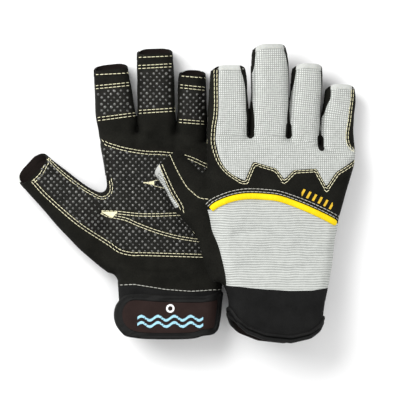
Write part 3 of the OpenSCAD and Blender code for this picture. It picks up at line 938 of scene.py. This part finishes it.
def dots_with_painted_glints():
    """Rubber dots, some with their base colour painted brighter as painted glints."""
    material, nodes, links, shader = node_material("grip_dots", (0.06, 0.06, 0.055), 0.2)
    coords = nodes.new("ShaderNodeTexCoord").outputs["Object"]
    # Noise lightens the base colour of some dots: painted glints in place of highlights.
    painted_glints = noise(nodes, links, coords, 260, 4)
    tint(nodes, links, shader, painted_glints, (0.014, 0.014, 0.012), (0.13, 0.13, 0.12), 0.38, 0.68)
    shader.inputs["Specular IOR Level"].default_value = 0.6
    return material


MESH = mesh_cloth()
RIBS = ribbed_cloth()
HEM_GREY = dark_cloth("grey_hem", (0.38, 0.39, 0.37), (0.52, 0.53, 0.51), 0.85, 1.2, 0.1)
SUEDE = dark_cloth("black_suede", (0.0026, 0.0026, 0.0018), (0.0105, 0.0102, 0.008), 0.92, 1.1, 0.22)
NEOPRENE = dark_cloth("black_neoprene", (0.003, 0.003, 0.003), (0.011, 0.011, 0.0108), 0.85, 1.6, 0.12)
KNIT = dark_cloth("black_knit", (0.003, 0.003, 0.003), (0.012, 0.012, 0.0115), 0.6, 2.0, 0.2)
# Near-black cloth for the cuff binding: painted shade for the groove between the rolled edges.
GROOVE_SHADE = dark_cloth("dark_groove", (0.0012, 0.0012, 0.0012), (0.004, 0.004, 0.004), 0.9, 2.0, 0.2)
GRIP = dark_cloth("grip_print", (0.003, 0.003, 0.0023), (0.0115, 0.0112, 0.009), 0.6, 1.3, 0.12)
LINING = dark_cloth("dark_lining", (0.005, 0.0035, 0.003), (0.014, 0.010, 0.009), 0.95, 1.2, 0.1)
YELLOW = dark_cloth("yellow_piping", (0.72, 0.50, 0.0), (0.86, 0.66, 0.01), 0.6, 1.5, 0.1)
LABEL = dark_cloth("brown_label", (0.011, 0.0052, 0.0043), (0.022, 0.0122, 0.0105), 0.7, 1.6, 0.12)
HOOKS = dark_cloth("hook_tape", (0.01, 0.01, 0.01), (0.03, 0.03, 0.03), 0.85, 2.2, 0.3)
DOT = dots_with_painted_glints()
THREAD = plain("cream_thread", (0.78, 0.74, 0.5), 0.7)
PALE_THREAD = plain("grey_thread", (0.5, 0.5, 0.45), 0.7)
BLUE = plain("pale_blue_print", (0.3, 0.55, 0.66), 0.6)
GOLD = plain("gold_print", (0.62, 0.4, 0.03), 0.6)
WHITE = plain("white_print", (0.75, 0.75, 0.75), 0.6)


# ---- One glove, part by part

def split(patch, *functions):
    """The part of a patch where every function is positive, and all the rest."""
    rest = []
    for function in functions:
        patch, out = patch.cut(function)
        rest.append(out.tri)
    return patch, Patch(patch.pos, patch.nor, np.vstack(rest))


def within(outline):
    plan = Plan(outline)
    return lambda p: plan(p[:, 0], p[:, 1])


def join_lists(*lists):
    return [point for part in lists for point in part]


def lay_out(glove, pair):
    """Carries every pattern line onto the glove and notes where the seams pull the cloth in."""
    left, right = pair
    back = lambda line: carry(curve(line, 4), right, glove)
    palm = lambda line: carry(curve(line, 4), left, glove)
    sharp_back = lambda line: carry(resample(line, 1.5), right, glove)
    glove.lines = {
        "zigzag": sharp_back(ZIGZAG), "piping": back(PIPING), "lower": back(LOWER_EDGE), "index": back(INDEX_SEAM),
        "little": back(LITTLE_SEAM), "palm_top": palm(PALM_TOP), "dart_upper": palm(DART_UPPER),
        "dart_lower": palm(DART_LOWER), "foot": palm(PALM_FOOT), "thumb_top": palm(THUMB_TOP),
        "thumb_rim": palm(THUMB_RIM), "notch_a": palm(UPPER_DART), "notch_b": palm(UPPER_DART_FOOT)}
    s = glove.lines
    glove.back_seams = [(s["index"], 0.5, 1.1), (s["zigzag"], 0.5, 1.1), (s["lower"], 0.5, 1.1)]
    glove.back_seams += [(back(c), 0.7, 2.6) for c in BACK_CREASES]
    glove.back_seams += [(back(line), 0.4, 1.0) for line in (THUMB_DOUBLE, THUMB_SINGLE)] if glove.g == RIGHT else []
    glove.palm_seams = [(s[k], 0.6, 1.3) for k in ("palm_top", "dart_upper", "dart_lower", "foot", "thumb_top")]
    glove.palm_seams += [(palm(c), 0.9, 2.2) for c in CREASES]


def finger_line(glove, f, k, offset=0.0, reach=1.15):
    """A seam across a finger: k picks the lower seam, the upper seam or the hem."""
    sleeve = glove.sleeves[f]
    scale = sleeve.length / PAIR[LEFT].sleeves[f].length
    a, b = (r * scale + offset for r in SEAM_RUNS[f - 1][2 * k:2 * k + 2])
    return np.array([sleeve.lay(s, a + (b - a) * (s + 1) / 2) for s in np.linspace(-reach, reach, 9)])


def back_outline(glove, line):
    return carry(curve(line, 3, closed=True), PAIR[RIGHT], glove)


def off_gussets(glove):
    """Positive outside the dark gussets between the fingers."""
    lines = [(carry([[x, y + half], [x, y + 9]], PAIR[RIGHT], glove), half) for x, y, half in GUSSETS]
    return lambda p: np.min([distance_to(line, p[:, 0], p[:, 1])[0] - half for line, half in lines], axis=0)


def build_digits(glove, sections):
    clear = off_gussets(glove)
    for f, name in enumerate(FINGERS):
        patch = sections[f]
        patch, _ = patch.cut(lambda p: -glove.past_tip(f, p))
        outline = GREY_THUMB if f == 0 else GREY_FINGERS[f - 1]
        top, rest = split(patch, glove.up, within(back_outline(glove, outline)), clear)
        hem, body = top.cut(lambda p: glove.past_tip(f, p) + 3.4)
        full = f"{glove.name}_{name}"
        panel(glove, f"{name}_back", body, name, [MESH, LINING], [f"{full}_back"])
        if len(hem.tri):
            panel(glove, f"{name}_back_hem", hem, name, [HEM_GREY, LINING], lift=0.3, thick=1.5)
        cuffed, plain_part = rest.cut(lambda p: glove.past_tip(f, p) + 4.5)
        panel(glove, f"{name}_sleeve", plain_part, name, [SUEDE, LINING], [f"{full}_sleeve"])
        panel(glove, f"{name}_sleeve_hem", cuffed, name, [SUEDE, LINING], lift=0.2, thick=1.5)


def grip_region(glove):
    """The printed grip of the palm and thumb, in plan."""
    left = PAIR[LEFT]
    outline = join_lists(curve(PALM_TOP, 4).tolist(), [[60, 9], [60, -46]], curve(PALM_FOOT, 4)[::-1].tolist(),
                         [[-103.5, 14], [-100, 20.5]], curve(THUMB_TOP, 4).tolist(), [[-62, 20], [-66, 38]])
    return carry(outline, left, glove)


def build_palm(glove, hand, thumb):
    region = grip_region(glove)
    inside = Plan(region)
    grip, rest = split(hand, lambda p: -glove.up(p) - 0.5, lambda p: inside(p[:, 0], p[:, 1]) - 0.4,
                       lambda p: GRIP_END - glove.share(p[:, 0], p[:, 1]))
    lower, upper = grip.cut(lambda p: lookup_line(glove.lines["dart_lower"], p))
    panel(glove, "palm_grip", upper, "hand", [GRIP, LINING], [f"{glove.name}_palm_grip"], lift=0.4,
          thick=1.5)
    panel(glove, "palm_grip_heel", lower, "hand", [GRIP, LINING], lift=0.4, thick=1.5)
    return rest, inside


def lookup_line(line, p):
    """Distance below a line that runs across the hand."""
    return np.interp(p[:, 0], line[:, 0], line[:, 1]) - p[:, 1]


def build_hand(glove, hand):
    """The hand's panels: the printed palm, the grey back, the dark band, the piping's side and the plain palm."""
    rest, inside = build_palm(glove, hand, None)
    lines = glove.lines
    back, palm = rest.cut(glove.up)
    order = np.argsort(lines["piping"][:, 0])
    piping = lines["piping"][order]
    below, above = back.cut(lambda p: lookup_line(piping, p))
    zig = lines["zigzag"]
    outline = np.vstack([carry(curve(GREY_HAND, 3), PAIR[RIGHT], glove), zig,
                         carry([[125, 26], [125, 60]], PAIR[RIGHT], glove)])
    grey, band = split(above, within(outline), off_gussets(glove))
    edge = lines["lower"]
    lower, strip = below.cut(lambda p: p[:, 0] - np.interp(-p[:, 1], -edge[:, 1], edge[:, 0]))
    full = glove.name
    panel(glove, "back_upper", grey, "hand", [MESH, LINING], [f"{full}_back_upper"])
    panel(glove, "knuckle_band", band, "hand", [SUEDE, LINING], [f"{full}_knuckle_band"])
    bars = lambda p: 0.95 - np.abs((p[:, 0] - 0.6 * p[:, 1]) % 5.2 - 2.6)
    height = lambda p: 2.8 - np.abs(-lookup_line(piping, p) - 10.2)
    mark, _ = split(band, bars, height, lambda p: p[:, 0] - glove.x_at(0.66, -5),
                    lambda p: glove.x_at(0.895, -5) - p[:, 0])
    panel(glove, "band_mark", mark, "hand", [GOLD, GOLD], lift=0.3, thick=0.5)
    panel(glove, "back_lower", lower, "hand", [RIBS, LINING], [f"{full}_back_lower"])
    by_thumb = lambda p: glove.sleeves[0].plan(p[:, 0], p[:, 1]) - glove.hand(p[:, 0], p[:, 1])
    root, palm = palm.cut(by_thumb)
    root_back, strip = strip.cut(by_thumb)
    panel(glove, "thumb_root", root, "hand", [SUEDE, LINING], [f"{full}_thumb_root"])
    panel(glove, "thumb_root_back", root_back, "hand", [SUEDE, LINING])
    panel(glove, "palm_panel", palm, "hand", [SUEDE, LINING], [f"{full}_palm_panel"])
    panel(glove, "palm_wrap", strip, "hand", [SUEDE, LINING])
    build_piping(glove, piping)


def build_piping(glove, line):
    at = resample(line, 1.2)
    p, normal, good = on_surface(glove, at, 1)
    p, normal = p[good], normal[good]
    aim = np.gradient(p, axis=0)
    aim /= np.linalg.norm(aim, axis=1)[:, None]
    across = np.cross(normal, aim)
    rise = glove.relief(p, normal)
    verts, faces = [], []
    around, n = 12, len(p)
    for k in range(n):
        ends = min(k, n - 1 - k)
        size = min(1.0, 0.85 + 0.15 * ends)
        for j in range(around):
            turn = 2 * math.pi * j / around
            verts.append(p[k] + across[k] * math.cos(turn) * PIPING_W / 2 * size
                         + normal[k] * (rise[k] + 0.35 + math.sin(turn) * 1.25 * size))
    for k in range(n - 1):
        for j in range(around):
            a, b = k * around + j, k * around + (j + 1) % around
            faces.append((a, a + around, b + around, b))
    faces.append(tuple(range(around)))
    faces.append(tuple((n - 1) * around + j for j in range(around - 1, -1, -1)))
    cloth = np.repeat(p, around, axis=0)
    obj = make_object(f"{glove.name}_piping", glove.to_frame(np.array(verts)), faces, [YELLOW], cloth=cloth, angle=60)
    attach(obj, glove, "hand", [f"{glove.name}_piping"])


def shared_loops(patch, function):
    """The loops of points along a cut, where the function is zero."""
    kept, _ = patch.cut(function)
    edge = border_edges(kept.tri)
    on_cut = np.abs(function(kept.pos)) < 0.12
    follow = {int(a): int(b) for a, b in edge if on_cut[a] and on_cut[b]}
    loops = []
    while follow:
        start = next(iter(follow))
        loop = [start]
        while loop[-1] in follow:
            loop.append(follow.pop(loop[-1]))
        if len(loop) > 20:
            loops.append((kept.pos[loop[:-1]], kept.nor[loop[:-1]]))
    return loops


def build_roll(glove, name, loops, radius, rise, material):
    """Rolled edges: a soft tube round each loop."""
    verts, faces, cloth = [], [], []
    around = 10
    for p, normal in loops:
        kernel = np.ones(5) / 5
        for k in range(3):
            wrapped = np.concatenate([p[-2:, k], p[:, k], p[:2, k]])
            p[:, k] = np.convolve(wrapped, kernel, "valid")
        p, normal = p[::2], normal[::2]
        aim = np.roll(p, -1, 0) - np.roll(p, 1, 0)
        aim /= np.linalg.norm(aim, axis=1)[:, None]
        across = np.cross(normal, aim)
        start, n = len(verts), len(p)
        lift = glove.relief(p, normal) + rise
        for k in range(n):
            for j in range(around):
                turn = 2 * math.pi * j / around
                verts.append(p[k] + radius * math.cos(turn) * across[k] + (lift[k] + radius * math.sin(turn)) * normal[k])
                cloth.append(p[k])
        for k in range(n):
            for j in range(around):
                a, b = start + k * around, start + (k + 1) % n * around
                faces.append((a + j, b + j, b + (j + 1) % around, a + (j + 1) % around))
    verts = np.array(verts)
    if glove.g == LEFT:
        verts[:, 2] = np.maximum(verts[:, 2], 0.02)
    obj = make_object(f"{glove.name}_{name}", glove.to_frame(verts), faces, [material], cloth=np.array(cloth), angle=70)
    attach(obj, glove, "hand")


def build_cuff(glove, cuff):
    loops = shared_loops(cuff, lambda p: glove.past_hem(p) + 1.4) + shared_loops(cuff, lambda p: glove.past_hem(p) + 4.4)
    build_roll(glove, "cuff_rolls", loops, 1.3, 0.35, KNIT)
    hem, body = cuff.cut(lambda p: glove.past_hem(p) + 5.8)
    panel(glove, "cuff", body, "hand", [NEOPRENE, LINING], [f"{glove.name}_cuff"], thick=1.8)
    # The binding between the rolls is near-black: painted shade for the groove between them.
    panel(glove, "cuff_binding", hem, "hand", [GROOVE_SHADE, LINING], [f"{glove.name}_cuff_binding"], thick=2.2)


def build_strap(glove, wrist):
    """The tab over the palm side of the cuff: root, tab, binding, label and the two closing pads."""
    outline = Plan(curve(STRAP[glove.g], 5, closed=True))
    depth = lambda p: outline(p[:, 0], p[:, 1])
    whole, _ = split(wrist, lambda p: -glove.up(p) - 2.0, depth)
    root, tab = whole.cut(lambda p: glove.share(p[:, 0], p[:, 1]) - STRAP_HINGE)
    plain_relief, name = glove.relief, glove.name

    def with_relief(profile, piece_name, patch, section, slot, materials, replaced=(), lift=0.0, thick=1.0):
        glove.relief = lambda pos, nor: profile(depth(pos)) - TAB_SINK * smooth_step(
            (glove.share(pos[:, 0], pos[:, 1]) - 0.88) / 0.12)
        panel(glove, piece_name, patch, section, materials, replaced, lift, thick)
        glove.relief = plain_relief

    ridges = lambda d: 1.0 * np.exp(-((d - 1.2) / 0.9) ** 2) + 0.9 * np.exp(-((d - 3.5) / 0.8) ** 2) - 0.6
    flat = lambda d: 0 * d
    inner, binding = tab.cut(lambda p: depth(p) - 4.5)
    label, _ = split(whole, lambda p: depth(p) - 4.3, lambda p: LABEL_END - glove.share(p[:, 0], p[:, 1]))
    with_relief(ridges, "strap_root", root, "hand", "black_neoprene", [NEOPRENE, NEOPRENE], [f"{name}_strap_root"],
                4.3, 4.2)
    with_relief(flat, "strap", inner, "strap", "black_neoprene", [NEOPRENE, NEOPRENE], [f"{name}_strap"], 4.3, 2.0)
    with_relief(ridges, "strap_binding", binding, "strap", "black_knit", [KNIT, KNIT], [f"{name}_strap_binding"],
                4.7, 2.6)
    with_relief(flat, "strap_label", label, "strap", "brown_label", [LABEL, LABEL], [f"{name}_strap_label"], 5.0, 0.7)
    low, high = (glove.x_at(s, -86) for s in (0.12, 0.62))
    if glove.g == RIGHT:
        low, high = 40, 66
    hooks, _ = split(whole, lambda p: depth(p) - 5.5, lambda p: high - 14 - p[:, 0])
    with_relief(flat, "hook_pad", hooks, "strap", "hook_tape", [HOOKS, HOOKS], [f"{name}_hook_pad"], 2.2, 0.8)
    loops, _ = split(whole, lambda p: depth(p) - 6.5, lambda p: glove.x_at(0.75, -86) - p[:, 0])
    with_relief(flat, "loop_pad", loops, "hand", "black_knit", [KNIT, KNIT], [f"{name}_loop_pad"], 1.2, 0.9)
    build_motif(glove, label, depth, with_relief)


def build_motif(glove, label, depth, with_relief):
    """A plain mark for the label: a ring above two waves."""
    x0, x1 = MOTIF_SPAN[glove.g]
    middle = (x0 + x1) / 2
    flat = lambda d: 0 * d
    wave = lambda p: -93.0 + 1.5 * np.sin((p[:, 0] - x0) * 2 * math.pi / 11.5)
    for k, rise in enumerate((0.0, 4.4)):
        line, _ = split(label, lambda p: 0.95 - np.abs(p[:, 1] - wave(p) - rise), lambda p: p[:, 0] - x0,
                        lambda p: x1 - p[:, 0])
        with_relief(flat, f"label_wave_{k + 1}", line, "strap", None, [BLUE, BLUE], (), 5.25, 0.4)
    away = lambda p: np.hypot(p[:, 0] - middle, p[:, 1] + 81.8)
    ring, _ = split(label, lambda p: 3.0 - away(p), lambda p: away(p) - 1.7)
    with_relief(flat, "label_ring", ring, "strap", None, [WHITE, WHITE], (), 5.25, 0.4)


def build_stitches(glove):
    sew = Stitching(glove)
    s = glove.lines
    for line, offsets, side, pale in (
            ("little", (-1.0, -2.6), 1, False),
            ("palm_top", (-1.0, 1.0), -1, False), ("dart_upper", (-0.9, 0.9), -1, False),
            ("dart_lower", (-0.9, 0.9), -1, False), ("foot", (-1.0, 1.0), -1, False),
            ("thumb_top", (0.6, 2.4), -1, False), ("thumb_rim", (-1.6, -3.4), -1, False),
            ("piping", (-3.2, -5.2), 1, True)):
        for offset in offsets:
            sew.run(beside(s[line], offset), side, pale=pale)
    seam = np.vstack([curve(INDEX_SEAM, 4)[:-1], ZIGZAG])
    for offset in (0.9, 2.4):
        sew.run(carry(resample(mitred(seam, offset), 0.6), PAIR[RIGHT], glove), 1)
    if glove.g == RIGHT:
        for line, offsets in ((THUMB_DOUBLE, (-0.9, 0.9)), (THUMB_SINGLE, (0.0,))):
            for offset in offsets:
                sew.run(beside(curve(line, 4), offset), 1)
    for f in range(1, 5):
        for k, offsets in ((0, (0.0, -2.1)), (1, (0.0, -2.1)), (2, (0.0,))):
            for offset in offsets:
                sew.run(finger_line(glove, f, k, offset), -1)
        hem = glove.sleeves[f]
        sew.run([hem.lay(t, hem.length - 3.0) for t in np.linspace(-0.85, 0.85, 9)], 1, pale=True, length=1.6,
                radius=0.26)
    a, b = s["dart_upper"], s["dart_lower"]
    sew.tack(a[0], a[min(5, len(a) - 1)] + [0, 1.2], b[min(5, len(b) - 1)] - [0, 1.2], -1, 14)
    a, b = s["notch_a"], s["notch_b"]
    sew.tack(a[0], a[5], b[5], -1, 10)
    for line in (a[5:], b[5:]):
        sew.run(line, -1)
    wrist = np.array([[glove.x_at(t, lookup(WRIST[glove.g], t)), lookup(WRIST[glove.g], t) + 0.8]
                      for t in np.linspace(0.015, 0.97, 30)])
    sew.run(wrist, -1, pale=True)
    sew.build(THREAD, PALE_THREAD)


def build_grips(glove, inside, rng):
    """The raised dots of the palm, and the dots over the fingers' grip patches."""
    box = inside.outline.min(0).tolist() + inside.outline.max(0).tolist()
    seams = [glove.lines[k] for k in ("dart_upper", "dart_lower")]

    def clear(x, y):
        d = np.minimum(inside(x, y), (GRIP_END - glove.share(x, y)) * 60)
        for line in seams:
            d = np.minimum(d, distance_to(line, x, y)[0] - 0.6)
        return d
    groups = grip_dots(glove, clear, box, rng)
    for f in range(1, 5):
        sleeve = glove.sleeves[f]
        low, high = finger_line(glove, f, 0, 0.4, 0.93), finger_line(glove, f, 1, -2.6, 0.93)
        patch_plan = Plan(np.vstack([low, high[::-1]]))
        box = patch_plan.outline.min(0).tolist() + patch_plan.outline.max(0).tolist()
        for section, part in grip_dots(glove, patch_plan, box, rng).items():
            groups.setdefault(section, ([], []))
            verts, faces = groups[section]
            start = len(verts)
            verts.extend(part[0])
            faces.extend(tuple(i + start for i in face) for face in part[1])
    for section, (verts, faces) in groups.items():
        name = "hand" if section == 5 else FINGERS[section]
        obj = make_object(f"{glove.name}_{name}_grip_dots", glove.to_frame(np.array(verts)), faces, [DOT])
        attach(obj, glove, name)


def build_finger_grips(glove, sections):
    for f in range(5):
        name = FINGERS[f]
        if f == 0:
            plan = Plan(grip_region(glove))
        else:
            plan = Plan(np.vstack([finger_line(glove, f, 0, 0.2, 0.96), finger_line(glove, f, 1, -2.3, 0.96)[::-1]]))
        patch, _ = split(sections[f], lambda p: -glove.up(p) - 1.5, lambda p: -glove.past_tip(f, p) - 2.0,
                         lambda p: plan(p[:, 0], p[:, 1]))
        panel(glove, f"{name}_grip", patch, name, [GRIP, GRIP], [f"{glove.name}_{name}_grip"], lift=0.4,
              thick=0.9)


def build_glove(glove):
    lay_out(glove, PAIR)
    low = [min(glove.hand.outline[:, 0].min(), min(s.plan.outline[:, 0].min() for s in glove.sleeves)) - 3, -113, -3]
    high = [max(glove.hand.outline[:, 0].max(), max(s.plan.outline[:, 0].max() for s in glove.sleeves)) + 3, 118, 33]
    pos, tri = surface_net(glove.field, low, high, NET_STEP)
    pos, nor = onto_surface(glove.field, pos)
    skin = Patch(pos, nor, tri)
    wrist, _ = skin.cut(lambda p: -60 - p[:, 1])
    skin, _ = skin.cut(lambda p: -glove.past_hem(p))
    thumb, skin = skin.cut(glove.in_thumb)
    digits, skin = skin.cut(glove.in_fingers)
    cuff, hand = skin.cut(glove.in_cuff)
    sections = [thumb]
    for f in range(1, 5):
        others = [glove.sleeves[k].plan for k in range(f + 1, 5)]
        mine = glove.sleeves[f].plan
        if others:
            part, digits = digits.cut(lambda p: mine(p[:, 0], p[:, 1]) - np.max([o(p[:, 0], p[:, 1]) for o in others], 0))
        else:
            part = digits
        sections.append(part)
    build_digits(glove, sections)
    build_hand(glove, hand)
    build_cuff(glove, cuff)
    build_strap(glove, wrist)
    build_finger_grips(glove, sections)
    build_grips(glove, Plan(grip_region(glove)), np.random.default_rng(7 + glove.g))
    build_stitches(glove)


NET_STEP = 1.3


# ---- Floor, lights and camera

def build_studio():
    bpy.ops.mesh.primitive_plane_add(size=6, location=(0, 0, -0.0015))
    floor = bpy.context.object
    floor.name = "floor"
    material = bpy.data.materials.new("pale_floor")
    material.use_nodes = True
    material.node_tree.nodes["Principled BSDF"].inputs["Base Color"].default_value = (0.86, 0.86, 0.86, 1)
    material.node_tree.nodes["Principled BSDF"].inputs["Roughness"].default_value = 0.9
    floor.data.materials.append(material)
    world = bpy.data.worlds.new("studio")
    world.use_nodes = True
    world.node_tree.nodes["Background"].inputs["Color"].default_value = (1, 1, 1, 1)
    world.node_tree.nodes["Background"].inputs["Strength"].default_value = 0.62
    bpy.context.scene.world = world
    for name, place, size, power in (("key", (-0.55, 0.5, 0.75), 0.8, 15), ("fill", (0.6, -0.35, 0.8), 1.0, 5)):
        light = bpy.data.lights.new(name, "AREA")
        light.size, light.energy = size, power
        obj = bpy.data.objects.new(name, light)
        obj.location = place
        aim = -obj.location.copy()
        obj.rotation_euler = aim.to_track_quat("-Z", "Y").to_euler()
        bpy.context.scene.collection.objects.link(obj)
    camera = bpy.data.cameras.new("camera")
    camera.type = "ORTHO"
    camera.ortho_scale = 0.28
    obj = bpy.data.objects.new("camera", camera)
    obj.location = (0.0100, -0.0046, 0.9)
    bpy.context.scene.collection.objects.link(obj)
    bpy.context.scene.camera = obj
    bpy.context.scene.view_settings.view_transform = "Standard"


PAIR = [Glove(LEFT), Glove(RIGHT)]
for each in PAIR:
    build_glove(each)
build_studio()
